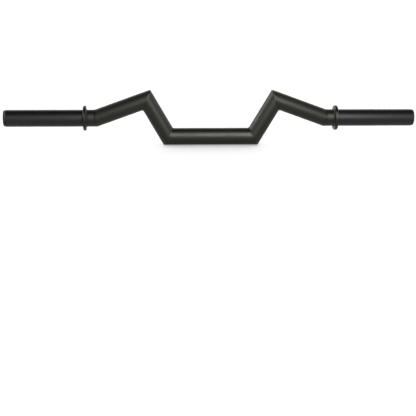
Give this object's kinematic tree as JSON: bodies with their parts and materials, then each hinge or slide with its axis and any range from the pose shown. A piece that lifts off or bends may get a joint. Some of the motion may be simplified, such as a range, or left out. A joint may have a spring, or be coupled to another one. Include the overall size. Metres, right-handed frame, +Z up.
{
  "type": "ez curl bar",
  "caption": "Cambered curl bar of mitred round pipe with angled grips, a plate stop collar and a turning plate sleeve at each end.",
  "frame": {"origin": "on the floor under the middle of the centre grip, the centre of the box's base", "axes": "+X along the bar, +Z up, with the bends in the XZ plane"},
  "size_m": [1.2, 0.072, 0.1608],
  "materials": {
    "powder_coat": "satin black powder coat",
    "turned_steel": "turned",
    "sintered_bronze": "sintered, oil filled",
    "washer_nylon": "moulded",
    "spring_steel": "phosphated",
    "cap_plastic": "moulded, fine grain"
  },
  "bodies": {
    "handle": {"centre_grip": "powder_coat", "left_inner_grip": "powder_coat", "right_inner_grip": "powder_coat", "left_outer_grip": "powder_coat", "right_outer_grip": "powder_coat", "necks": "powder_coat", "collars": "powder_coat", "collar_welds": "powder_coat", "left_spindle": "turned_steel", "right_spindle": "turned_steel", "thrust_washers": "washer_nylon", "end_washers": "turned_steel", "retaining_rings": "spring_steel"},
    "left_sleeve": {"left_sleeve": "powder_coat", "left_bushings": "sintered_bronze", "left_end_cap": "cap_plastic"},
    "right_sleeve": {"right_sleeve": "powder_coat", "right_bushings": "sintered_bronze", "right_end_cap": "cap_plastic"}
  },
  "joints": [
    {"name": "left_sleeve_spin", "type": "hinge", "parent": "handle", "child": "left_sleeve", "pos_m": [-0.48254, 0, 0.07905], "axis": [1, 0, 0], "continuous": true},
    {"name": "right_sleeve_spin", "type": "hinge", "parent": "handle", "child": "right_sleeve", "pos_m": [0.48254, 0, 0.07905], "axis": [1, 0, 0], "continuous": true}
  ]
}
